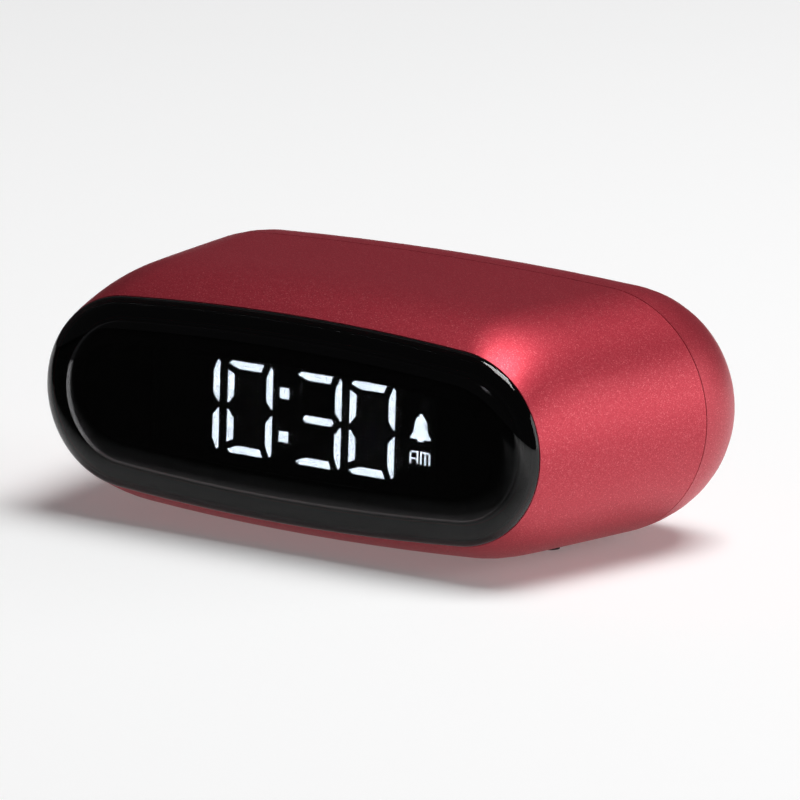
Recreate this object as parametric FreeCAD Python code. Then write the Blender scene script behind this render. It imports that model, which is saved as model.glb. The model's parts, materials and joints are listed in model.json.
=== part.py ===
"""Mini travel alarm clock: oval moulded body, domed black window, LCD movement, two AAA cells.

Every shape is drawn in body coordinates: x to the right seen from the front, t the distance
behind the front edge of the front housing, z the height above the middle of the body.
save() moves a finished shape into the part frame, whose origin is the bottom centre of the
overall box with the front facing -Y and the feet standing on z = 0.
"""
import math
import os

import FreeCAD
import Part

# ---------------------------------------------------------------- overall sizes
width = 91.0
body_height = 36.0
seam_depth = 34.2
rear_depth = 15.3
foot_proud = 0.2

# ---------------------------------------------------------------- outer form
front_width = 81.2
front_height = 29.1
lip_land = 0.1
front_roundness = 0.924
seam_roundness = 0.958
shoulder_depth = 14.85
shoulder_power = 2.68
side_bulge = 0.13
rear_round = 9.3
rear_power = 2.2
wall = 2.0
seam_gap = 0.15
lap_length = 1.5
lap_wall = 0.85
lap_clearance = 0.15

# ---------------------------------------------------------------- window and front wall
lens_gap = 0.15
lens_seat = 1.2
lens_face_gap = 0.1
lens_rise = 2.5
lens_edge_round = 5.75
lens_thickness = 1.8
lens_rim_width = 2.0
lens_rim_depth = 1.2
adhesive_thickness = 0.2
adhesive_inset = 0.2
adhesive_width = 1.6
front_wall = 1.0
mask_thickness = 0.1
mask_overhang = 1.4
bond = 0.05

# ---------------------------------------------------------------- display
view_width = 47.2
view_height = 17.2
glass_width = 52.0
glass_height = 22.0
contact_ledge = 2.5
polarizer_thickness = 0.2
glass_thickness = 0.7
cell_gap = 0.1
guide_thickness = 1.6
reflector_thickness = 0.2
gasket_depth = 0.65
frame_clearance = 0.2
frame_wall = 1.3
led_width = 1.5
digit_width = 7.4
digit_height = 12.9
digit_stroke = 1.0
digit_pitch = 8.8
colon_space = 2.6
colon_size = 1.5
mark_width = 3.3
mark_offset = 4.25
display_drop = 0.2
ring_strokes = ("top", "upper_left", "upper_right", "lower_left", "lower_right", "bottom")
lit_strokes = (
    ("upper_right", "lower_right"),
    ring_strokes,
    ("top", "upper_right", "middle", "lower_right", "bottom"),
    ring_strokes,
)

# ---------------------------------------------------------------- battery space
cell_length = 44.5
cell_diameter = 10.5
cell_nub_length = 1.0
cell_nub_diameter = 3.8
cell_clearance = 0.1
spring_length = 4.0
spring_diameter = 6.0
spring_wire = 0.6
contact_thickness = 0.3
contact_size = 8.0
tray_wall = 1.1
tray_start = 9.0
cell_lift = 0.2
door_gap = 0.2
door_hook = 1.2
ear_length = 5.5
ear_width = 6.0
ear_height = -12.0

# ---------------------------------------------------------------- boards and small pieces
board_thickness = 1.0
board_half_height = 12.5
wing_half_length = 34.0
wing_half_height = 5.0
board_screw_x = 31.0
control_depth = 6.5
key_board_left = -14.0
key_board_right = 29.5
key_board_half_height = 7.0
key_post_radius = 1.8
key_post_height = 5.0

# ---------------------------------------------------------------- rear controls
button_names = ("mode", "up", "down")
button_first_x = -6.0
button_pitch = 10.0
button_diameter = 5.4
button_flange = 7.0
button_proud = 0.6
control_gap = 0.2
switch_size = 4.5
switch_height = 2.0
plunger_diameter = 2.0
knob_x = 25.5
knob_length = 3.0
knob_width = 2.4
knob_travel = 2.5
slider_length = 7.0
slider_width = 3.8
slider_height = 2.5
buzzer_x = -21.0
buzzer_radius = 6.5
buzzer_height = 4.0

# ---------------------------------------------------------------- fasteners and feet
boss_inboard = 12.5
boss_radius = 3.2
shell_screw_radius = 1.25
shell_screw_head = 2.1
shell_screw_length = 13.0
head_seat_depth = 5.8
front_boss_length = 14.0
small_screw_radius = 0.9
small_screw_head = 1.7
screw_head_height = 1.2
thread_fit = 0.02
foot_radius = 1.6
foot_x = 26.4
foot_front_t = 25.0
foot_rear_t = 39.5
foot_recess = 0.6

# ---------------------------------------------------------------- derived positions
half_width = width / 2
half_height = body_height / 2
half_front_width = front_width / 2
half_front_height = front_height / 2
back = seam_depth + rear_depth
depth = lens_rise + back + button_proud
front_y = -depth / 2 + lens_rise
axis_z = foot_proud + half_height

rim_inset = lens_seat + lens_gap
wall_front = lens_rim_depth + adhesive_thickness
wall_back = wall_front + front_wall
polarizer_t = wall_back + gasket_depth - bond - polarizer_thickness
front_glass_t = polarizer_t + polarizer_thickness + bond
segment_t = front_glass_t + glass_thickness + bond
rear_glass_t = segment_t + cell_gap + bond
rear_polarizer_t = rear_glass_t + glass_thickness + bond
guide_t = rear_polarizer_t + polarizer_thickness + bond
reflector_t = guide_t + guide_thickness + bond
board_t = reflector_t + reflector_thickness + 0.2
board_back = board_t + board_thickness

tray_half = (cell_length + spring_length) / 2 + contact_thickness
seam_radius = half_height * seam_roundness
floor_reach = half_width - seam_radius
floor_drop = half_height - seam_radius
floor_radius = (floor_reach ** 2 + half_height ** 2 - seam_radius ** 2) / (2 * floor_drop)
floor_rise = floor_radius - math.sqrt(floor_radius ** 2 - (cell_length / 2) ** 2)
cell_z = -half_height + wall + floor_rise + cell_lift + cell_diameter / 2
cell_front_t = tray_start + tray_wall + 0.2 + cell_diameter / 2
cell_rear_t = cell_front_t + cell_diameter + cell_clearance
tray_end = cell_rear_t + cell_diameter / 2 + 0.2 + tray_wall
tray_roof = cell_z + cell_diameter / 2 + 0.25
boss_x = half_width - boss_inboard
rear_wall_inside = back - wall
key_board_t = rear_wall_inside - control_depth
key_board_back = key_board_t + board_thickness
head_seat = seam_depth + head_seat_depth
knob_rest_x = knob_x + knob_travel / 2
up = FreeCAD.Vector(0, 0, 1)
rearward = FreeCAD.Vector(0, 1, 0)
rightward = FreeCAD.Vector(1, 0, 0)


# ---------------------------------------------------------------- helpers
def block(x0, x1, t0, t1, z0, z1):
    """Box between two corners."""
    return Part.makeBox(x1 - x0, t1 - t0, z1 - z0, FreeCAD.Vector(x0, t0, z0))


def rod(x, z, t0, t1, radius):
    """Cylinder running front to back."""
    return Part.makeCylinder(radius, t1 - t0, FreeCAD.Vector(x, t0, z), rearward)


def pillar(x, t, z0, z1, radius):
    """Upright cylinder."""
    return Part.makeCylinder(radius, z1 - z0, FreeCAD.Vector(x, t, z0), up)


def plate(points, t0, t1):
    """Flat outline given as (x, z) points, thickened from t0 to t1."""
    corners = [FreeCAD.Vector(x, t0, z) for x, z in points]
    outline = Part.makePolygon(corners + corners[:1])
    return Part.Face(outline).extrude(FreeCAD.Vector(0, t1 - t0, 0))


def wire_run(points, radius):
    """Round wire through a list of (x, t, z) points with round corners."""
    places = [FreeCAD.Vector(*point) for point in points]
    run = None
    for start, end in zip(places, places[1:]):
        length = (end - start).Length
        piece = Part.makeCylinder(radius, length, start, end - start)
        run = piece if run is None else run.fuse(piece)
    for corner in places[1:-1]:
        run = run.fuse(Part.makeSphere(radius, corner))
    return run


def oval(half_length, half_tall, end_radius, t):
    """Closed outline of two end arcs and two long arcs that meet smoothly."""
    reach = half_length - end_radius
    long_radius = (reach ** 2 + half_tall ** 2 - end_radius ** 2) / (2 * (half_tall - end_radius))
    scale = end_radius / (long_radius - end_radius)
    join_x = reach + reach * scale
    join_z = (long_radius - half_tall) * scale
    right = FreeCAD.Vector(half_length, t, 0)
    left = FreeCAD.Vector(-half_length, t, 0)
    top = FreeCAD.Vector(0, t, half_tall)
    bottom = FreeCAD.Vector(0, t, -half_tall)
    top_right = FreeCAD.Vector(join_x, t, join_z)
    top_left = FreeCAD.Vector(-join_x, t, join_z)
    bottom_left = FreeCAD.Vector(-join_x, t, -join_z)
    bottom_right = FreeCAD.Vector(join_x, t, -join_z)
    arcs = (
        Part.Arc(bottom_right, right, top_right),
        Part.Arc(top_right, top, top_left),
        Part.Arc(top_left, left, bottom_left),
        Part.Arc(bottom_left, bottom, bottom_right),
    )
    return Part.Wire([arc.toShape() for arc in arcs])


def lens_oval(inset, t):
    """Window recess outline, drawn in by inset."""
    end_radius = half_front_height * front_roundness
    return oval(half_front_width - inset, half_front_height - inset, end_radius - inset, t)


def lens_prism(inset, t0, t1):
    """Solid with the window outline between two depths."""
    return Part.Face(lens_oval(inset, t0)).extrude(FreeCAD.Vector(0, t1 - t0, 0))


def front_oval(t, inset):
    """Outline of the front housing at depth t, drawn in by inset."""
    start_width = half_front_width + lip_land
    start_height = half_front_height + lip_land
    start_radius = half_front_height * front_roundness + lip_land
    end_radius = half_height * seam_roundness
    along = t / seam_depth
    flare = along + side_bulge * along * (1 - along)
    swell = 1 - (1 - min(t / shoulder_depth, 1)) ** shoulder_power
    half_length = start_width + (half_width - start_width) * flare
    half_tall = start_height + (half_height - start_height) * swell
    radius = start_radius + (end_radius - start_radius) * swell
    return oval(half_length - inset, half_tall - inset, radius - inset, t)


def front_form(t0, t1, inset):
    """Solid filling the front housing between two depths."""
    knots = [shoulder_depth * part for part in (0.05, 0.11, 0.18, 0.26, 0.35, 0.46, 0.6, 0.78, 1.0)]
    knots = knots + [shoulder_depth + (seam_depth - shoulder_depth) * part for part in (0.33, 0.67)]
    inner_knots = [knot for knot in knots if t0 + 0.3 < knot < t1 - 0.3]
    depths = [t0] + inner_knots + [t1]
    return Part.makeLoft([front_oval(t, inset) for t in depths], True, True)


def rear_form(start, inset):
    """Solid filling the rear housing from a start depth to its back wall."""
    reach = back - inset - start
    sections = []
    for degrees in (0, 8, 17, 26, 35, 44, 52, 60, 68, 75, 81, 86, 90):
        angle = math.radians(degrees)
        forward = math.sin(angle) ** (2 / rear_power)
        closing = 1 - max(math.cos(angle), 0) ** (2 / rear_power)
        drawn_in = inset + rear_round * closing
        end_radius = half_height * seam_roundness
        sections.append(
            oval(
                half_width - drawn_in,
                half_height - drawn_in,
                end_radius - drawn_in,
                start + reach * forward,
            )
        )
    return Part.makeLoft(sections, True, True)


def joined(shapes):
    """Fuse a list of shapes into one."""
    result = shapes[0]
    for shape in shapes[1:]:
        result = result.fuse(shape)
    return result.removeSplitter()


def save(name, shape):
    """Move a shape into the part frame and write its file."""
    shape = shape.copy()
    shape.translate(FreeCAD.Vector(0, front_y, axis_z))
    shape.exportStep(os.path.join("parts", name + ".step"))


def button_x(index):
    """Position of one rear button."""
    return button_first_x + index * button_pitch


# ---------------------------------------------------------------- window
def front_lens():
    """Domed window: flat face, wide rounded edge over the housing's land, rim down in the recess."""
    rim = lens_prism(rim_inset, -lens_face_gap, lens_rim_depth)
    dome = []
    hollow = []
    inner_start = 0.6
    inner_rise = lens_rise - lens_thickness + inner_start
    for degrees in (0, 9, 18, 27, 36, 45, 54, 63, 72, 81, 90):
        angle = math.radians(degrees)
        closing = 1 - math.cos(angle)
        height = lens_face_gap + (lens_rise - lens_face_gap) * math.sin(angle)
        dome.append(lens_oval(lens_edge_round * closing, -height))
        hollow_inset = rim_inset + lens_rim_width + lens_edge_round * 0.6 * closing
        hollow.append(lens_oval(hollow_inset, inner_start - inner_rise * math.sin(angle)))
    body = rim.fuse(Part.makeLoft(dome, True, True))
    mouth = lens_prism(rim_inset + lens_rim_width, inner_start, lens_rim_depth)
    return body.cut(Part.makeLoft(hollow, True, True)).cut(mouth)


def lens_adhesive():
    """Ring of double-sided tape under the window rim."""
    outer = lens_prism(rim_inset + adhesive_inset, lens_rim_depth, wall_front)
    inner = lens_prism(rim_inset + adhesive_inset + adhesive_width, lens_rim_depth, wall_front)
    return outer.cut(inner)


def display_mask():
    """Black film on the front wall that frames the display."""
    inset = rim_inset + adhesive_inset + adhesive_width + 0.2
    film = lens_prism(inset, wall_front - mask_thickness, wall_front)
    window = block(-view_width / 2, view_width / 2, 0, wall_back, -view_height / 2, view_height / 2)
    return film.cut(window)


# ---------------------------------------------------------------- housings
def door_region(gap):
    """Upright prism through the floor where the battery door goes, widened by gap."""
    half = tray_half - door_gap + gap
    t0 = tray_start + tray_wall + door_gap - gap
    t1 = tray_end - tray_wall - door_gap + gap
    return block(-half, half, t0, t1, -half_height - 5, cell_z)


def feet_recesses(t):
    """Shallow round pockets for one pair of feet."""
    floor = foot_floor(t) + foot_recess
    return [pillar(side * foot_x, t, -half_height - 5, floor, foot_radius) for side in (-1, 1)]


def foot_floor(t):
    """Height of the body's underside where a foot sits."""
    form = front_form(0, seam_depth, 0) if t < seam_depth else rear_form(seam_depth, 0)
    probe = block(foot_x - 0.05, foot_x + 0.05, t - 0.05, t + 0.05, -half_height - 5, 0)
    return form.common(probe).BoundBox.ZMin


def front_housing():
    """Front shell with its front wall, window recess, screw bosses and board posts."""
    solid = front_form(0, seam_depth - seam_gap / 2, 0)
    shell = solid.cut(front_form(wall_back, seam_depth, wall))
    shell = shell.cut(lens_prism(lens_seat, -1, wall_front))
    opening_x = view_width / 2 + mask_overhang
    opening_z = view_height / 2 + mask_overhang
    shell = shell.cut(block(-opening_x, opening_x, 0, wall_back, -opening_z, opening_z))
    rebate_start = seam_depth - lap_length - lap_clearance
    shell = shell.cut(front_form(rebate_start, seam_depth, wall - lap_wall - lap_clearance))
    shell = shell.cut(door_region(door_gap))
    extras = []
    holes = []
    boss_end = seam_depth - seam_gap / 2
    pilot = shell_screw_radius + thread_fit
    for side in (-1, 1):
        boss_start = boss_end - front_boss_length
        extras.append(rod(side * boss_x, 0, boss_start, boss_end, boss_radius))
        rib = block(boss_x, half_width + 5, boss_start, rebate_start - 0.5, -0.8, 0.8)
        if side < 0:
            rib = rib.mirror(FreeCAD.Vector(0, 0, 0), rightward)
        extras.append(rib)
        screw_end = head_seat - shell_screw_length - 0.5
        holes.append(rod(side * boss_x, 0, screw_end, seam_depth, pilot))
        extras.append(rod(side * board_screw_x, 0, wall_front, board_t, 2.4))
        holes.append(rod(side * board_screw_x, 0, wall_back + 0.4, board_t, small_screw_radius + thread_fit))
        ear_x = side * (tray_half + tray_wall + ear_length / 2)
        ear_t = (tray_start + tray_end) / 2
        extras.append(pillar(ear_x, ear_t, -half_height - 2, ear_height, 2.4))
        holes.append(pillar(ear_x, ear_t, ear_height - 3.5, ear_height, small_screw_radius + thread_fit))
    trimmed = [extra.common(front_form(0, seam_depth - seam_gap / 2, 0.4)) for extra in extras]
    shell = joined([shell] + trimmed)
    for hole in holes + feet_recesses(foot_front_t):
        shell = shell.cut(hole)
    return shell


def grille_holes():
    """Ring of six sound holes round a middle one."""
    places = [(buzzer_x, 0)]
    for index in range(6):
        angle = math.radians(60 * index)
        places.append((buzzer_x + 3.2 * math.cos(angle), 3.2 * math.sin(angle)))
    return [rod(x, z, rear_wall_inside - 1, back + 1, 0.7) for x, z in places]


def key_posts():
    """Places of the four posts that carry the key board."""
    right_x = button_x(len(button_names) - 1) + button_pitch / 2
    left_x = button_x(0) - button_pitch / 2
    return [(x, z) for x in (left_x, right_x) for z in (-key_post_height, key_post_height)]


def rear_housing():
    """Rear shell with locating lip, screw bosses, key board posts and control openings."""
    form = rear_form(seam_depth + seam_gap / 2, 0)
    shell = form.cut(rear_form(seam_depth - 0.5, wall))
    lip_start = seam_depth - lap_length
    lip_outside = wall - lap_wall
    joint_t = seam_depth + seam_gap / 2
    lip = front_form(lip_start, seam_depth, lip_outside).cut(front_form(lip_start - 0.1, seam_depth, wall))
    end_face = Part.Face(front_oval(seam_depth, lip_outside))
    hole_face = Part.Face(front_oval(seam_depth, wall))
    neck_length = FreeCAD.Vector(0, seam_gap / 2 + 1.0, 0)
    neck = end_face.extrude(neck_length).cut(hole_face.extrude(neck_length))
    extras = [lip, neck]
    holes = grille_holes()
    for side in (-1, 1):
        extras.append(rod(side * boss_x, 0, joint_t, back - 0.5, boss_radius))
        holes.append(rod(side * boss_x, 0, seam_depth - 1, back, shell_screw_radius + 0.15))
        holes.append(rod(side * boss_x, 0, head_seat, back + 1, shell_screw_head + 0.25))
    for x, z in key_posts():
        extras.append(rod(x, z, key_board_back, back - 0.5, key_post_radius).common(form))
        holes.append(rod(x, z, key_board_back, key_board_back + 4.0, small_screw_radius + thread_fit))
    for index in range(len(button_names)):
        opening = button_diameter / 2 + control_gap
        holes.append(rod(button_x(index), 0, rear_wall_inside - 1, back + 1, opening))
    slot_x = (knob_length + knob_travel) / 2 + control_gap
    slot_z = knob_width / 2 + control_gap
    holes.append(block(knob_x - slot_x, knob_x + slot_x, rear_wall_inside - 1, back + 1, -slot_z, slot_z))
    shell = joined([shell] + extras)
    for hole in holes + feet_recesses(foot_rear_t):
        shell = shell.cut(hole)
    return shell


def battery_door():
    """Underside door: a piece of the shell with a stiffening rib and two hook tabs."""
    skin = front_form(0, seam_depth, 0).cut(front_form(wall_back, seam_depth, wall))
    door = skin.common(door_region(0))
    tab_t = tray_start + tray_wall + door_gap
    door_tab_top = -half_height + wall + 1.6
    tabs = []
    for side in (-1, 1):
        middle = side * tray_half / 2
        tabs.append(block(middle - 3, middle + 3, tab_t, tab_t + door_hook, -half_height + 1, door_tab_top))
    return joined([door] + tabs)


def foot(side, t):
    """Round rubber foot let into the underside."""
    top = foot_floor(t) + foot_recess
    return pillar(side * foot_x, t, -half_height - foot_proud, top, foot_radius - 0.05)


# ---------------------------------------------------------------- display stack
def lcd_gasket():
    """Foam frame between the front wall and the display glass."""
    outer_x = view_width / 2 + 2.4
    outer_z = view_height / 2 + 2.4
    inner_x = view_width / 2 + 0.2
    inner_z = view_height / 2 + 0.2
    outer = block(-outer_x, outer_x, wall_back, front_glass_t, -outer_z, outer_z)
    return outer.cut(block(-inner_x, inner_x, wall_back, front_glass_t, -inner_z, inner_z))


def display_frame():
    """Open moulded frame that holds the display stack against the front wall."""
    outer_x = glass_width / 2 + frame_clearance + frame_wall
    outer_z = glass_height / 2 + frame_clearance + frame_wall
    inner_x = glass_width / 2 + frame_clearance
    inner_z = glass_height / 2 + frame_clearance
    outer = block(-outer_x, outer_x, wall_back, board_t, -outer_z, outer_z)
    outer = outer.common(front_form(wall_back, board_t + 1, wall + 0.1))
    return outer.cut(block(-inner_x, inner_x, wall_back, board_t, -inner_z, inner_z))


def display_sheet(t, thickness, margin, low_margin, right_margin):
    """Flat sheet of the display stack, drawn in from the glass size."""
    half = glass_width / 2
    tall = glass_height / 2
    return block(-half + margin, half - right_margin, t, t + thickness, -tall + low_margin, tall - margin)


def digit_strokes():
    """The seven strokes of a digit as (x, z) outlines from its lower left corner."""
    high = digit_height
    wide = digit_width
    stroke = digit_stroke
    middle = high / 2
    right = wide - stroke
    top = [
        (0.18, high - 0.45),
        (0.75, high),
        (5.9, high),
        (5.45, high - stroke - 0.05),
        (1.75, high - stroke - 0.05),
    ]
    upper_left = [
        (0, middle + 0.5),
        (0.15, middle + 0.5),
        (stroke, middle + 1.55),
        (stroke, high - 1.95),
        (0, high - 1.45),
    ]
    upper_right = [
        (wide, middle + 0.5),
        (wide - 0.12, middle + 0.5),
        (right, middle + 1.55),
        (right, high - 1.8),
        (wide - 0.3, high - 0.18),
        (wide, high - 0.5),
    ]
    bar = [
        (1.15, middle),
        (1.65, middle + stroke / 2),
        (5.75, middle + stroke / 2),
        (6.2, middle),
        (5.75, middle - stroke / 2),
        (1.65, middle - stroke / 2),
    ]
    strokes = {"top": top, "upper_left": upper_left, "upper_right": upper_right, "middle": bar}
    for name, twin in (("top", "bottom"), ("upper_left", "lower_left"), ("upper_right", "lower_right")):
        strokes[twin] = [(x, high - z) for x, z in strokes[name]]
    return strokes


def digit_left(place):
    """Left edge of one of the four digit places."""
    content = 3 * digit_pitch + colon_space + digit_width + mark_offset + mark_width / 2
    start = -content / 2
    shift = colon_space if place >= 2 else 0
    return start + place * digit_pitch + shift


def time_strokes():
    """Lit strokes of the four digits."""
    strokes = digit_strokes()
    low = -digit_height / 2 - display_drop
    shapes = []
    for place, names in enumerate(lit_strokes):
        left = digit_left(place)
        for name in names:
            outline = [(left + x, low + z) for x, z in strokes[name]]
            shapes.append(plate(outline, segment_t, segment_t + cell_gap))
    return shapes


def colon_dots():
    """Two square dots between hours and minutes."""
    middle = (digit_left(1) + digit_width + digit_left(2)) / 2
    half = colon_size / 2
    dots = []
    for height in (-3.04 - display_drop, 3.04 - display_drop):
        dots.append(
            block(middle - half, middle + half, segment_t, segment_t + cell_gap, height - half, height + half)
        )
    return dots


def mark_middle():
    """Middle of the column of small marks right of the digits."""
    return digit_left(3) + digit_width + mark_offset


def bell_mark():
    """Bell shown while the alarm is set."""
    centre = mark_middle()
    base = -0.15 - display_drop
    half = mark_width / 2
    side = []
    for degrees in (0, 20, 40, 60):
        angle = math.radians(degrees)
        side.append((0.97 * math.cos(angle), base + 1.95 + 1.25 * math.sin(angle)))
    skirt = [(0.4, base - 0.3), (0.5, base), (half, base), (half - 0.05, base + 0.25), (1.15, base + 0.9)]
    crown = [(0.28, base + 3.15), (0.24, base + 3.45)]
    right = skirt + side + crown
    left = [(-x, z) for x, z in reversed(right)]
    return plate([(centre + x, z) for x, z in right + left], segment_t, segment_t + cell_gap)


def morning_mark():
    """Morning mark in plain block letters."""
    left = mark_middle() - mark_width / 2
    low = -3.6 - display_drop
    high = low + 1.75
    bar = 0.21
    corner = 0.3
    first = 1.35
    second = left + first + 0.35
    right = left + mark_width
    t1 = segment_t + cell_gap
    arch = [
        (left, low),
        (left, high - corner),
        (left + corner, high),
        (left + first, high),
        (left + first, low),
    ]
    arch_hole = [
        (left + bar, low),
        (left + bar, high - corner - 0.05),
        (left + corner + 0.05, high - bar),
        (left + first - bar, high - bar),
        (left + first - bar, low),
    ]
    letter_a = plate(arch, segment_t, t1).cut(plate(arch_hole, segment_t, t1))
    letter_a = letter_a.fuse(block(left, left + first, segment_t, t1, low + 0.6, low + 0.6 + bar))
    wide = [(second, low), (second, high), (right - corner, high), (right, high - corner), (right, low)]
    letter_m = plate(wide, segment_t, t1)
    leg = (right - second - 3 * bar) / 2
    for start in (second + bar, second + 2 * bar + leg):
        letter_m = letter_m.cut(block(start, start + leg, segment_t, t1, low, high - bar))
    return Part.makeCompound([letter_a.removeSplitter(), letter_m])


# ---------------------------------------------------------------- boards
def main_board():
    """Main circuit board with two screw wings."""
    half = glass_width / 2 + frame_clearance + frame_wall
    body = block(-half, half, board_t, board_back, -board_half_height, board_half_height)
    wings = block(
        -wing_half_length, wing_half_length, board_t, board_back, -wing_half_height, wing_half_height
    )
    board = joined([body, wings])
    for side in (-1, 1):
        board = board.cut(rod(side * board_screw_x, 0, board_t, board_back, small_screw_radius + 0.1))
    return board


def key_board():
    """Small circuit board behind the rear controls."""
    tall = key_board_half_height
    board = block(key_board_left, key_board_right, key_board_t, key_board_back, -tall, tall)
    for x, z in key_posts():
        board = board.cut(rod(x, z, key_board_t, key_board_back, small_screw_radius + 0.1))
    return board


def clock_chip():
    """Domed blob of sealing resin over the clock chip."""
    sphere_radius = 8.0
    centre = FreeCAD.Vector(-12, board_back - sphere_radius + 1.4, 5)
    latitude = math.degrees(math.asin((sphere_radius - 1.4) / sphere_radius))
    return Part.makeSphere(sphere_radius, centre, rearward, latitude, 90, 360)


def crystal():
    """Watch crystal can lying on the board."""
    can = Part.makeCylinder(1.0, 6.0, FreeCAD.Vector(14, board_back + 1.0, 9.0), rightward)
    return can


def capacitor():
    """Upright electrolytic capacitor standing off the main board."""
    return rod(22, 5.5, board_back, board_back + 6.0, 2.5)


def ribbon_cable():
    """Flat cable between the two boards."""
    path = [(board_back + 2.0, 8.0), (16.0, 8.0), (34.0, 0.0), (key_board_t - 2.0, 0.0)]
    half = 0.15
    upper = [(t, z + half) for t, z in path]
    lower = [(t, z - half) for t, z in reversed(path)]
    corners = [FreeCAD.Vector(-4, t, z) for t, z in upper + lower]
    outline = Part.makePolygon(corners + corners[:1])
    return Part.Face(outline).extrude(FreeCAD.Vector(8, 0, 0))


def touch_plate():
    """Thin foil under the roof that senses a touch on top."""
    outer = front_form(wall_back, seam_depth, wall + 0.06)
    inner = front_form(wall_back, seam_depth, wall + 0.26)
    return outer.cut(inner).common(block(-18, 18, 15, 29, 5, half_height))


def touch_lead():
    """Wire from the main board up to the touch foil."""
    foil_z = half_height - wall - 0.3
    return wire_run([(0, board_back, 11), (0, 12, 11), (0, 17, foil_z - 0.4)], 0.4)


# ---------------------------------------------------------------- batteries
def battery_tray():
    """Downward-open tray round the two cells, with an ear at each end."""
    outer_x = tray_half + tray_wall
    roof = tray_roof + tray_wall
    body = block(-outer_x, outer_x, tray_start, tray_end, -half_height, roof)
    inner_t0 = tray_start + tray_wall
    inner_t1 = tray_end - tray_wall
    body = body.cut(block(-tray_half, tray_half, inner_t0, inner_t1, -half_height, tray_roof))
    middle_t = (tray_start + tray_end) / 2
    cradle_z = tray_roof - 2.0
    divider = block(-tray_half, tray_half, middle_t - 0.5, middle_t + 0.5, cradle_z, tray_roof)
    pieces = [body, divider]
    ear_x = tray_half + tray_wall + ear_length / 2
    for side in (-1, 1):
        x0, x1 = sorted((side * outer_x, side * (outer_x + ear_length)))
        ear = block(x0, x1, middle_t - ear_width / 2, middle_t + ear_width / 2, ear_height, ear_height + 1.2)
        pieces.append(ear)
    tray = joined(pieces)
    for side in (-1, 1):
        hole = pillar(side * ear_x, middle_t, ear_height, ear_height + 1.2, small_screw_radius + 0.1)
        tray = tray.cut(hole)
    return tray.common(front_form(wall_back, seam_depth, wall + 0.1))


def battery_cell(t, side):
    """AAA cell with its positive nub toward the given side."""
    tip = side * (tray_half - contact_thickness)
    body_length = cell_length - cell_nub_length
    shoulder = tip - side * cell_nub_length
    direction = FreeCAD.Vector(-side, 0, 0)
    start = FreeCAD.Vector(shoulder, t, cell_z)
    body = Part.makeCylinder(cell_diameter / 2, body_length, start, direction)
    rims = [edge for edge in body.Edges if edge.Curve.TypeId == "Part::GeomCircle"]
    body = body.makeFillet(0.5, rims)
    nub_start = FreeCAD.Vector(tip, t, cell_z)
    nub = Part.makeCylinder(cell_nub_diameter / 2, cell_nub_length + 0.5, nub_start, direction)
    return joined([body, nub])


def contact_plate(t, side):
    """Flat metal contact on a tray end wall."""
    x0, x1 = sorted((side * tray_half, side * (tray_half - contact_thickness)))
    half = contact_size / 2
    return block(x0, x1, t - half, t + half, cell_z - half, cell_z + half)


def contact_spring(t, side):
    """Tapered coil on its own backing plate, pressing on a cell's flat end."""
    step = (spring_length - spring_wire) / 3
    pieces = [contact_plate(t, side)]
    for turn in range(4):
        outside = spring_diameter / 2 - 0.35 * turn
        start_x = side * (tray_half - contact_thickness - turn * step)
        start = FreeCAD.Vector(start_x, t, cell_z)
        toward_cell = FreeCAD.Vector(-side, 0, 0)
        ring = Part.makeCylinder(outside, spring_wire, start, toward_cell)
        pieces.append(ring.cut(Part.makeCylinder(outside - spring_wire, spring_wire, start, toward_cell)))
        if turn < 3:
            x0, x1 = sorted((start_x - side * spring_wire / 2, start_x - side * (step + spring_wire / 2)))
            lift = outside - 0.65 if turn % 2 == 0 else 0.65 - outside
            middle_z = cell_z + lift
            pieces.append(block(x0, x1, t - 0.3, t + 0.3, middle_z - 0.25, middle_z + 0.25))
    return joined(pieces)


# ---------------------------------------------------------------- controls
def key_button(index):
    """Round push button with a retaining flange and a short stem."""
    x = button_x(index)
    flange_back = rear_wall_inside - control_gap
    stem_front = key_board_back + switch_height + 1.0
    cap = rod(x, 0, flange_back - 0.8, back + button_proud, button_diameter / 2)
    rims = [edge for edge in cap.Edges if edge.BoundBox.YMin > back]
    cap = cap.makeFillet(0.4, rims)
    flange = rod(x, 0, flange_back - 0.8, flange_back, button_flange / 2)
    stem = rod(x, 0, stem_front, flange_back, 1.5)
    return joined([cap, flange, stem])


def key_switch(index):
    """Body of the tact switch under one button."""
    x = button_x(index)
    half = switch_size / 2
    top = key_board_back + switch_height
    body = block(x - half, x + half, key_board_back, top, -half, half)
    return body.cut(rod(x, 0, top - 1.4, top, plunger_diameter / 2 + 0.1))


def key_plunger(index):
    """Plunger of the tact switch, pushed by the button stem."""
    top = key_board_back + switch_height
    return rod(button_x(index), 0, top - 0.5, top + 1.0, plunger_diameter / 2)


def alarm_knob():
    """Finger piece of the alarm slide switch with its inner foot and grip ridges."""
    half = knob_length / 2
    tall = knob_width / 2
    foot_back = rear_wall_inside - control_gap
    body = block(knob_rest_x - half, knob_rest_x + half, foot_back - 0.9, back + button_proud, -tall, tall)
    sole = block(knob_rest_x - 2.6, knob_rest_x + 2.6, foot_back - 0.9, foot_back, -2.2, 2.2)
    knob = joined([body, sole])
    for offset in (-0.8, 0, 0.8):
        groove_x = knob_rest_x + offset
        groove = block(groove_x - 0.15, groove_x + 0.15, back + button_proud - 0.25, back + 2, -3, 3)
        knob = knob.cut(groove)
    return knob


def slider_lever():
    """Lever of the slide switch, carried by the knob."""
    foot_front = rear_wall_inside - control_gap - 0.9
    return block(knob_rest_x - 0.8, knob_rest_x + 0.8, key_board_back + 1.2, foot_front, -0.6, 0.6)


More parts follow.
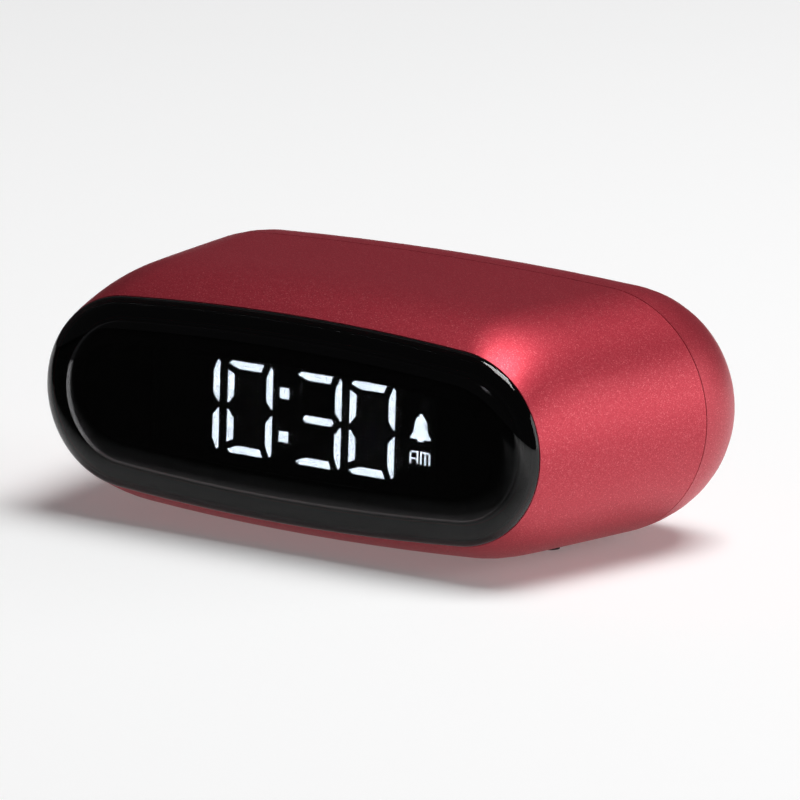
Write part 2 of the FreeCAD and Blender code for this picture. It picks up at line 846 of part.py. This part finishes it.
def slider_body():
    """Body of the slide switch with the slot its lever runs in."""
    half = slider_length / 2
    top = key_board_back + slider_height
    body = block(knob_x - half, knob_x + half, key_board_back, top, -slider_width / 2, slider_width / 2)
    reach = 0.8 + knob_travel / 2 + 0.25
    return body.cut(block(knob_x - reach, knob_x + reach, key_board_back + 0.9, top, -0.85, 0.85))


def buzzer():
    """Round piezo sounder with its sound port."""
    rear_face = rear_wall_inside - 0.5
    case = rod(buzzer_x, 0, rear_face - buzzer_height, rear_face, buzzer_radius)
    return case.cut(rod(buzzer_x, 0, rear_face - 1.0, rear_face, 1.2))


def buzzer_gasket():
    """Foam ring that seals the sounder to the rear wall."""
    rear_face = rear_wall_inside - 0.5
    ring = rod(buzzer_x, 0, rear_face, rear_wall_inside, buzzer_radius)
    return ring.cut(rod(buzzer_x, 0, rear_face, rear_wall_inside, buzzer_radius - 1.8))


# ---------------------------------------------------------------- screws
def screw(x, z, seat, shank_end, shank_radius, head_radius):
    """Pan-head screw along the depth; its head lies on the far side of the seat from its tip."""
    away = 1 if shank_end < seat else -1
    head_end = seat + away * screw_head_height
    low, high = sorted((seat, head_end))
    head = rod(x, z, low, high, head_radius)
    low, high = sorted((seat, shank_end))
    shank = rod(x, z, low, high, shank_radius)
    slot_low, slot_high = sorted((head_end, head_end - away * 0.6))
    cross = block(x - 0.25, x + 0.25, slot_low, slot_high, z - head_radius * 0.6, z + head_radius * 0.6)
    arm = block(x - head_radius * 0.6, x + head_radius * 0.6, slot_low, slot_high, z - 0.25, z + 0.25)
    return joined([head, shank]).cut(cross).cut(arm)


def tray_screw(side):
    """Upright screw holding one tray ear."""
    x = side * (tray_half + tray_wall + ear_length / 2)
    t = (tray_start + tray_end) / 2
    seat = ear_height + 1.2
    head = pillar(x, t, seat, seat + screw_head_height, small_screw_head)
    shank = pillar(x, t, seat - 4.2, seat, small_screw_radius)
    top = seat + screw_head_height
    cross = block(x - 1.0, x + 1.0, t - 0.25, t + 0.25, top - 0.6, top)
    arm = block(x - 0.25, x + 0.25, t - 1.0, t + 1.0, top - 0.6, top)
    return joined([head, shank]).cut(cross).cut(arm)


# ---------------------------------------------------------------- all pieces
def display_pieces():
    """Pieces of the display stack, front to back."""
    view_x = view_width / 2
    view_z = view_height / 2
    polarizer = block(-view_x, view_x, polarizer_t, polarizer_t + polarizer_thickness, -view_z, view_z)
    guide_right = led_width + 0.3
    led_x = glass_width / 2 - led_width
    rear_low = contact_ledge
    glass_low = -glass_height / 2
    return {
        "lcd_gasket": lcd_gasket(),
        "display_frame": display_frame(),
        "lcd_front_polarizer": polarizer,
        "lcd_front_glass": display_sheet(front_glass_t, glass_thickness, 0, 0, 0),
        "lcd_time_segments": Part.makeCompound(time_strokes() + colon_dots()),
        "lcd_mark_segments": Part.makeCompound([bell_mark(), morning_mark()]),
        "lcd_rear_glass": display_sheet(rear_glass_t, glass_thickness, 0, rear_low, 0),
        "lcd_rear_polarizer": display_sheet(rear_polarizer_t, polarizer_thickness, 0.5, rear_low + 0.5, 0.5),
        "light_guide": display_sheet(guide_t, guide_thickness, 0, rear_low, guide_right),
        "backlight_leds": block(led_x, led_x + led_width, guide_t, guide_t + guide_thickness, -6, 8),
        "backlight_reflector": display_sheet(reflector_t, reflector_thickness, 0, rear_low, 0),
        "elastomer_connector": block(
            -24, 24, front_glass_t + glass_thickness, board_t, glass_low + 0.2, glass_low + 2.0
        ),
    }


def board_pieces():
    """Boards and what is soldered or plugged to them."""
    return {
        "main_board": main_board(),
        "clock_chip": clock_chip(),
        "crystal": crystal(),
        "capacitor": capacitor(),
        "ribbon_socket_main": block(-5, 5, board_back, board_back + 2.0, 6.0, 10.0),
        "ribbon_socket_key": block(-5, 5, key_board_t - 2.0, key_board_t, -2.0, 2.0),
        "ribbon_cable": ribbon_cable(),
        "touch_plate": touch_plate(),
        "touch_lead": touch_lead(),
        "key_board": key_board(),
    }


def battery_pieces():
    """Tray, cells, contacts and leads."""
    roof = tray_roof + tray_wall
    leads = [wire_run([(x, 14, roof), (x, 14, roof + 2), (x, board_back, roof + 2)], 0.6) for x in (-20, 20)]
    return {
        "battery_tray": battery_tray(),
        "battery_cell_front": battery_cell(cell_front_t, 1),
        "battery_cell_rear": battery_cell(cell_rear_t, -1),
        "contact_plate_front": contact_plate(cell_front_t, 1),
        "contact_plate_rear": contact_plate(cell_rear_t, -1),
        "contact_spring_front": contact_spring(cell_front_t, -1),
        "contact_spring_rear": contact_spring(cell_rear_t, 1),
        "battery_leads": Part.makeCompound(leads),
    }


def control_pieces():
    """Rear controls and sounder."""
    pieces = {}
    for index, name in enumerate(button_names):
        pieces["button_" + name] = key_button(index)
        pieces["switch_plunger_" + name] = key_plunger(index)
        pieces["switch_body_" + name] = key_switch(index)
    pieces["alarm_knob"] = alarm_knob()
    pieces["slider_lever"] = slider_lever()
    pieces["slider_body"] = slider_body()
    pieces["buzzer"] = buzzer()
    pieces["buzzer_gasket"] = buzzer_gasket()
    case_front = rear_wall_inside - 0.5 - buzzer_height
    edge_t = (key_board_t + key_board_back) / 2
    lead = [(buzzer_x, case_front, 2), (buzzer_x, edge_t, 2), (key_board_left, edge_t, 2)]
    pieces["buzzer_lead"] = wire_run(lead, 0.45)
    return pieces


def screw_pieces():
    """Groups of identical screws."""
    shell_end = head_seat - shell_screw_length
    sides = (-1, 1)
    shell = [screw(s * boss_x, 0, head_seat, shell_end, shell_screw_radius, shell_screw_head) for s in sides]
    board_end = wall_back + 0.8
    board = [
        screw(s * board_screw_x, 0, board_back, board_end, small_screw_radius, small_screw_head)
        for s in sides
    ]
    key_end = key_board_back + 3.5
    key = [screw(x, z, key_board_t, key_end, small_screw_radius, small_screw_head) for x, z in key_posts()]
    return {
        "housing_screws": Part.makeCompound(shell),
        "board_screws": Part.makeCompound(board),
        "key_board_screws": Part.makeCompound(key),
        "tray_screws": Part.makeCompound([tray_screw(side) for side in sides]),
    }


def case_pieces():
    """Window, housings, door and feet."""
    return {
        "front_lens": front_lens(),
        "lens_adhesive": lens_adhesive(),
        "display_mask": display_mask(),
        "front_housing": front_housing(),
        "rear_housing": rear_housing(),
        "battery_door": battery_door(),
        "foot_front_left": foot(-1, foot_front_t),
        "foot_front_right": foot(1, foot_front_t),
        "foot_rear_left": foot(-1, foot_rear_t),
        "foot_rear_right": foot(1, foot_rear_t),
    }


os.makedirs("parts", exist_ok=True)
for group in (
    case_pieces(),
    display_pieces(),
    board_pieces(),
    battery_pieces(),
    control_pieces(),
    screw_pieces(),
):
    for piece_name, piece in group.items():
        save(piece_name, piece)
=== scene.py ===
"""Looks for the mini travel alarm clock: materials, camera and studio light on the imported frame."""
import json
import math
import random

import bpy
from mathutils import Matrix, Vector

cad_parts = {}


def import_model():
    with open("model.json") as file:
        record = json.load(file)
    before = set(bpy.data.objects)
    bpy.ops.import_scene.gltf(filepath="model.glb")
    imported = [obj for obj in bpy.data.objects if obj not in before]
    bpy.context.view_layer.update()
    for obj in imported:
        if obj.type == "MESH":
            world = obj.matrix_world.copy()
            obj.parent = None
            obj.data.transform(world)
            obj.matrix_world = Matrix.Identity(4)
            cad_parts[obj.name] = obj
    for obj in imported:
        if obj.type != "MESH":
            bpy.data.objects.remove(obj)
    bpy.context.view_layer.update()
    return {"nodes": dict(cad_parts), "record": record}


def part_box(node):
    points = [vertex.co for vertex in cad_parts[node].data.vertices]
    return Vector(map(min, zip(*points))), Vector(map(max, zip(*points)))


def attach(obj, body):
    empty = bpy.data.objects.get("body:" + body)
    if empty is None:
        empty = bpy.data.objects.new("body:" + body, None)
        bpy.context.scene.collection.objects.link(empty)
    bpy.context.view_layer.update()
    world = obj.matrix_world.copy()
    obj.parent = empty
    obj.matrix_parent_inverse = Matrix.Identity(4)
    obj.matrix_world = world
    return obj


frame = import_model()
NODES = frame["nodes"]
random.seed(7)


# ---------------------------------------------------------------- material helpers
class Graph:
    """Small helper around one material's node tree."""

    def __init__(self, name):
        self.material = bpy.data.materials.new(name)
        self.material.use_nodes = True
        self.tree = self.material.node_tree
        self.shader = self.tree.nodes["Principled BSDF"]
        self.coords = self.tree.nodes.new("ShaderNodeTexCoord")

    def node(self, kind, **settings):
        made = self.tree.nodes.new(kind)
        for key, value in settings.items():
            setattr(made, key, value)
        return made

    def link(self, source, target):
        self.tree.links.new(source, target)

    def noise(self, scale, detail=4.0, roughness=0.5):
        made = self.node("ShaderNodeTexNoise")
        made.inputs["Scale"].default_value = scale
        made.inputs["Detail"].default_value = detail
        made.inputs["Roughness"].default_value = roughness
        self.link(self.coords.outputs["Object"], made.inputs["Vector"])
        return made.outputs["Fac"]

    def cells(self, scale):
        made = self.node("ShaderNodeTexVoronoi")
        made.inputs["Scale"].default_value = scale
        self.link(self.coords.outputs["Object"], made.inputs["Vector"])
        return made

    def span(self, value, low, high, from_low=0.0, from_high=1.0):
        made = self.node("ShaderNodeMapRange")
        made.inputs["From Min"].default_value = from_low
        made.inputs["From Max"].default_value = from_high
        made.inputs["To Min"].default_value = low
        made.inputs["To Max"].default_value = high
        self.link(value, made.inputs["Value"])
        return made.outputs["Result"]

    def ramp(self, value, stops):
        made = self.node("ShaderNodeValToRGB")
        band = made.color_ramp
        while len(band.elements) < len(stops):
            band.elements.new(0.5)
        for element, (place, colour) in zip(band.elements, stops):
            element.position = place
            element.color = (*colour, 1)
        self.link(value, made.inputs["Fac"])
        return made.outputs["Color"]

    def bump(self, height, strength, distance, normal=None):
        made = self.node("ShaderNodeBump")
        made.inputs["Strength"].default_value = strength
        made.inputs["Distance"].default_value = distance
        self.link(height, made.inputs["Height"])
        if normal is not None:
            self.link(normal, made.inputs["Normal"])
        return made.outputs["Normal"]

    def set(self, **values):
        for key, value in values.items():
            self.shader.inputs[key.replace("_", " ")].default_value = value
        return self


def shade(colour, factor):
    return tuple(min(1.0, channel * factor) for channel in colour)


def plain(
    name, colour, roughness, metallic=0.0, grain=900.0, depth=0.00002, spread=0.12, coat=0.0, gloss=0.5
):
    """Everyday finish: colour and roughness vary, and a fine grain breaks the surface."""
    g = Graph(name)
    g.set(Metallic=metallic, Coat_Weight=coat, Specular_IOR_Level=gloss)
    tone = g.noise(grain * 0.12, 5.0)
    stops = [(0.25, shade(colour, 1 - spread)), (0.5, colour), (0.8, shade(colour, 1 + spread))]
    g.link(g.ramp(tone, stops), g.shader.inputs["Base Color"])
    wear = g.span(g.noise(grain * 0.3, 3.0), roughness * 0.85, min(1.0, roughness * 1.2))
    g.link(wear, g.shader.inputs["Roughness"])
    g.link(g.bump(g.noise(grain, 3.0), 0.35, depth), g.shader.inputs["Normal"])
    return g.material


def lacquer(name):
    """Red metallic-flake lacquer: dark base, bright flakes with their own tilt, clear coat."""
    g = Graph(name)
    g.set(Metallic=0.8, Coat_Weight=0.12, Coat_Roughness=0.25)
    flakes = g.cells(9500.0)
    split = g.node("ShaderNodeSeparateColor")
    g.link(flakes.outputs["Color"], split.inputs["Color"])
    pick = split.outputs["Red"]
    stops = [
        (0.0, (0.44, 0.03, 0.05)),
        (0.6, (0.52, 0.042, 0.066)),
        (0.93, (0.6, 0.065, 0.09)),
        (1.0, (0.74, 0.17, 0.19)),
    ]
    g.link(g.ramp(pick, stops), g.shader.inputs["Base Color"])
    g.link(g.span(split.outputs["Green"], 0.4, 0.5), g.shader.inputs["Roughness"])
    tilt = g.bump(split.outputs["Blue"], 0.4, 0.000012)
    wave = g.bump(g.noise(60.0, 2.0), 0.05, 0.0004, tilt)
    g.link(wave, g.shader.inputs["Normal"])
    return g.material


def smoked_window(name):
    """Dark acrylic with a hard gloss."""
    g = Graph(name)
    g.set(Base_Color=(0.16, 0.16, 0.165, 1), IOR=1.49, Transmission_Weight=1.0, Specular_IOR_Level=0.5)
    g.link(g.span(g.noise(60.0, 3.0), 0.0, 0.003, 0.35, 0.8), g.shader.inputs["Roughness"])
    return g.material


def clear_sheet(name, colour):
    g = Graph(name)
    g.set(Base_Color=(*colour, 1), IOR=1.5, Transmission_Weight=1.0, Specular_IOR_Level=0.0)
    g.link(g.span(g.noise(80.0, 3.0), 0.0, 0.002, 0.35, 0.8), g.shader.inputs["Roughness"])
    return g.material


def lit(name, colour, strength):
    g = Graph(name)
    g.set(Emission_Color=(*colour, 1), Emission_Strength=strength)
    tone = g.noise(300.0, 2.0)
    g.link(g.ramp(tone, [(0.0, shade(colour, 0.9)), (1.0, colour)]), g.shader.inputs["Base Color"])
    g.link(g.span(tone, 0.4, 0.6), g.shader.inputs["Roughness"])
    return g.material


FINISHES = {
    "window": smoked_window("window"),
    "shell_red": lacquer("shell_red"),
    "tape": plain("tape", (0.02, 0.02, 0.02), 0.7),
    "mask_black": plain("mask_black", (0.003, 0.003, 0.0032), 0.7, spread=0.3, gloss=0.02),
    "foot_rubber": plain("foot_rubber", (0.025, 0.025, 0.025), 0.8, depth=0.00004),
    "foam": plain("foam", (0.03, 0.03, 0.032), 0.95, grain=1500.0, depth=0.0001),
    "polarizer_film": clear_sheet("polarizer_film", (0.75, 0.76, 0.78)),
    "lcd_glass": clear_sheet("lcd_glass", (0.95, 0.97, 0.97)),
    "lcd_dark": plain("lcd_dark", (0.005, 0.005, 0.006), 0.6, spread=0.2, gloss=0.02),
    "lit_segments": lit("lit_segments", (0.86, 0.93, 1.0), 11.0),
    "guide_acrylic": plain("guide_acrylic", (0.75, 0.78, 0.8), 0.35),
    "led_body": plain("led_body", (0.85, 0.82, 0.55), 0.4),
    "reflector_white": plain("reflector_white", (0.85, 0.85, 0.84), 0.5),
    "elastomer": plain("elastomer", (0.45, 0.4, 0.4), 0.8),
    "board_green": plain("board_green", (0.02, 0.14, 0.06), 0.35, coat=0.2),
    "resin_black": plain("resin_black", (0.012, 0.012, 0.012), 0.25),
    "metal_can": plain("metal_can", (0.7, 0.7, 0.71), 0.25, metallic=1.0),
    "capacitor_sleeve": plain("capacitor_sleeve", (0.02, 0.04, 0.14), 0.3),
    "socket_white": plain("socket_white", (0.7, 0.68, 0.6), 0.5),
    "ribbon_grey": plain("ribbon_grey", (0.45, 0.45, 0.47), 0.55),
    "copper_foil": plain("copper_foil", (0.72, 0.35, 0.2), 0.35, metallic=1.0),
    "wire_sleeve": plain("wire_sleeve", (0.35, 0.02, 0.02), 0.45),
    "tray_black": plain("tray_black", (0.025, 0.025, 0.027), 0.6, depth=0.00004),
    "cell_sleeve": plain("cell_sleeve", (0.04, 0.16, 0.07), 0.3, metallic=0.4, coat=0.3),
    "contact_metal": plain("contact_metal", (0.72, 0.7, 0.65), 0.28, metallic=1.0),
    "key_black": plain("key_black", (0.022, 0.022, 0.024), 0.55, grain=1800.0, depth=0.00005),
    "switch_black": plain("switch_black", (0.02, 0.02, 0.02), 0.5),
    "plunger_cream": plain("plunger_cream", (0.65, 0.6, 0.45), 0.5),
    "slider_case": plain("slider_case", (0.62, 0.62, 0.62), 0.35, metallic=1.0),
    "buzzer_black": plain("buzzer_black", (0.02, 0.02, 0.02), 0.5),
    "screw_steel": plain("screw_steel", (0.55, 0.55, 0.56), 0.32, metallic=1.0),
}


def finish_node(name, slot_name):
    """Give a carried-over CAD node its finish and smooth it across its shallow edges."""
    node = NODES[name]
    node.data.materials.clear()
    node.data.materials.append(FINISHES[slot_name])
    if "custom_normal" in node.data.attributes:
        node.data.attributes.remove(node.data.attributes["custom_normal"])
    for polygon in node.data.polygons:
        polygon.use_smooth = True
    weld = node.modifiers.new("weld", "WELD")
    weld.merge_threshold = 0.000002
    split = node.modifiers.new("split", "EDGE_SPLIT")
    split.split_angle = math.radians(24)
    return node


for entry in frame["record"]["subparts"]:
    finish_node(entry["node"], entry["material_slot"])


# ---------------------------------------------------------------- window print
END_ROUNDNESS = 0.924
LENS_RISE = 0.0025
PRINT_INSET = 0.00341
PRINT_START = 0.00062
PRINT_BACK = 0.0011
PRINT_ACROSS = 0.00345
PRINT_DEEP = 0.00126
PRINT_THICKNESS = 0.00003
PRINT_STEPS = 9
PRINT_POINTS = 192


def oval_point(half_length, half_tall, end_radius, part):
    """Point at a share of the way round an outline of two end arcs and two long arcs."""
    reach = half_length - end_radius
    long_radius = (reach ** 2 + half_tall ** 2 - end_radius ** 2) / (2 * (half_tall - end_radius))
    turn = math.atan2(long_radius - half_tall, reach)
    angle = 2 * math.pi * part
    folded = math.asin(abs(math.sin(angle)))
    if folded < turn * 0.5:
        swing = folded * 2
        x, z = reach + end_radius * math.cos(swing), end_radius * math.sin(swing)
    else:
        share = (folded - turn * 0.5) / (math.pi / 2 - turn * 0.5)
        swing = turn + (math.pi / 2 - turn) * share
        x, z = long_radius * math.cos(swing), long_radius * math.sin(swing) - (long_radius - half_tall)
    return math.copysign(x, math.cos(angle)), math.copysign(z, math.sin(angle))


def window_print():
    """Black border printed round the back of the window."""
    low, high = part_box("front_lens")
    middle_z = (low[2] + high[2]) / 2
    half_length = (high[0] - low[0]) / 2
    half_tall = (high[2] - low[2]) / 2
    edge_y = low[1] + LENS_RISE
    end_radius = half_tall * END_ROUNDNESS
    profile = [(PRINT_INSET, PRINT_BACK), (PRINT_INSET, PRINT_START)]
    for step in range(1, PRINT_STEPS + 1):
        angle = math.radians(90 * step / PRINT_STEPS)
        inset = PRINT_INSET + PRINT_ACROSS * (1 - math.cos(angle))
        profile.append((inset, PRINT_START - PRINT_DEEP * math.sin(angle)))
    points, faces = [], []
    for inset, depth in profile:
        for index in range(PRINT_POINTS):
            part = (index + 0.5) / PRINT_POINTS
            x, z = oval_point(half_length - inset, half_tall - inset, end_radius - inset, part)
            points.append((x, edge_y + depth, middle_z + z))
    for row in range(len(profile) - 1):
        start, above = row * PRINT_POINTS, (row + 1) * PRINT_POINTS
        for index in range(PRINT_POINTS):
            after = (index + 1) % PRINT_POINTS
            faces.append((start + index, start + after, above + after, above + index))
    mesh = bpy.data.meshes.new("window_print")
    mesh.from_pydata(points, [], faces)
    for polygon in mesh.polygons:
        polygon.use_smooth = True
    made = bpy.data.objects.new("window_print", mesh)
    bpy.context.scene.collection.objects.link(made)
    skin = made.modifiers.new("skin", "SOLIDIFY")
    skin.thickness = PRINT_THICKNESS
    mesh.materials.append(FINISHES["mask_black"])
    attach(made, "case")
    return made


window_print()


# ---------------------------------------------------------------- stage
def area_light(name, place, target, width, height, power, colour=(1, 1, 1)):
    data = bpy.data.lights.new(name, "AREA")
    data.shape = "RECTANGLE"
    data.size = width
    data.size_y = height
    data.energy = power
    data.color = colour
    made = bpy.data.objects.new(name, data)
    made.location = place
    made.rotation_mode = "QUATERNION"
    made.rotation_quaternion = (Vector(target) - Vector(place)).to_track_quat("-Z", "Y")
    bpy.context.scene.collection.objects.link(made)
    return made


def paper():
    """Pale paper, kept dark where the window would mirror it, as a black card in front would."""
    g = Graph("floor_paper")
    g.set(Roughness=0.9, Specular_IOR_Level=0.1, Emission_Color=(1, 1, 1, 1))
    place = g.node("ShaderNodeSeparateXYZ")
    g.link(g.coords.outputs["Object"], place.inputs[0])
    ahead = g.span(place.outputs["Y"], 1.0, 0.0, -0.05, -0.025)
    beside = g.span(place.outputs["X"], 1.0, 0.0, 0.03, 0.07)
    path = g.node("ShaderNodeLightPath")
    both = g.node("ShaderNodeMath", operation="MULTIPLY")
    g.link(ahead, both.inputs[0])
    g.link(beside, both.inputs[1])
    dark = g.node("ShaderNodeMath", operation="MULTIPLY")
    g.link(both.outputs[0], dark.inputs[0])
    g.link(path.outputs["Is Glossy Ray"], dark.inputs[1])
    shades = [(0.0, (0.88, 0.88, 0.88)), (1.0, (0.02, 0.02, 0.02))]
    g.link(g.ramp(dark.outputs[0], shades), g.shader.inputs["Base Color"])
    glow = g.span(dark.outputs[0], 0.16, 0.0)
    g.link(glow, g.shader.inputs["Emission Strength"])
    return g.material


def floor():
    """Pale sweep the clock stands on."""
    half = 3.0
    mesh = bpy.data.meshes.new("floor")
    corners = [(-half, -half, 0), (half, -half, 0), (half, half, 0), (-half, half, 0)]
    mesh.from_pydata(corners, [], [(0, 1, 2, 3)])
    made = bpy.data.objects.new("floor", mesh)
    bpy.context.scene.collection.objects.link(made)
    mesh.materials.append(paper())
    return made


def world():
    """White backdrop to the camera, darker room in reflections."""
    made = bpy.data.worlds.new("studio")
    bpy.context.scene.world = made
    made.use_nodes = True
    tree = made.node_tree
    background = tree.nodes["Background"]
    path = tree.nodes.new("ShaderNodeLightPath")
    mix = tree.nodes.new("ShaderNodeMix")
    mix.data_type = "RGBA"
    mix.inputs[6].default_value = (0.04, 0.04, 0.042, 1)
    mix.inputs[7].default_value = (1.0, 1.0, 1.0, 1)
    tree.links.new(path.outputs["Is Camera Ray"], mix.inputs[0])
    tree.links.new(mix.outputs[2], background.inputs["Color"])
    background.inputs["Strength"].default_value = 1.0


def camera():
    """Long lens from the front right, a little above the clock."""
    azimuth = math.radians(34.27)
    elevation = math.radians(12.15)
    roll = math.radians(1.52)
    distance = 1.3348
    focal = 12.2499
    origin = Vector((0, -0.0238, 0.0182))
    level = math.cos(elevation)
    forward = Vector((-math.sin(azimuth) * level, math.cos(azimuth) * level, -math.sin(elevation)))
    right = Vector((math.cos(azimuth), math.sin(azimuth), 0))
    up = right.cross(forward)
    right, up = right * math.cos(roll) + up * math.sin(roll), up * math.cos(roll) - right * math.sin(roll)
    place = origin - forward * distance
    aim = (forward + right * (0.1370 / focal) + up * (0.0250 / focal)).normalized()
    right = (right - aim * right.dot(aim)).normalized()
    up = right.cross(aim)
    data = bpy.data.cameras.new("camera")
    data.lens = 36.0 * focal
    data.sensor_width = 36.0
    data.clip_end = 20.0
    made = bpy.data.objects.new("camera", data)
    basis = Matrix((right, up, -aim)).transposed().to_4x4()
    made.matrix_world = Matrix.Translation(place) @ basis
    bpy.context.scene.collection.objects.link(made)
    bpy.context.scene.camera = made


floor()
world()
area_light("key", (0.3, 0.2, 1.4), (0, 0, 0.02), 0.8, 0.8, 19.0)
area_light("side", (1.1, 0.8, 0.35), (0, 0, 0.02), 1.4, 0.7, 6.0)
camera()
bpy.context.scene.view_settings.view_transform = "Standard"
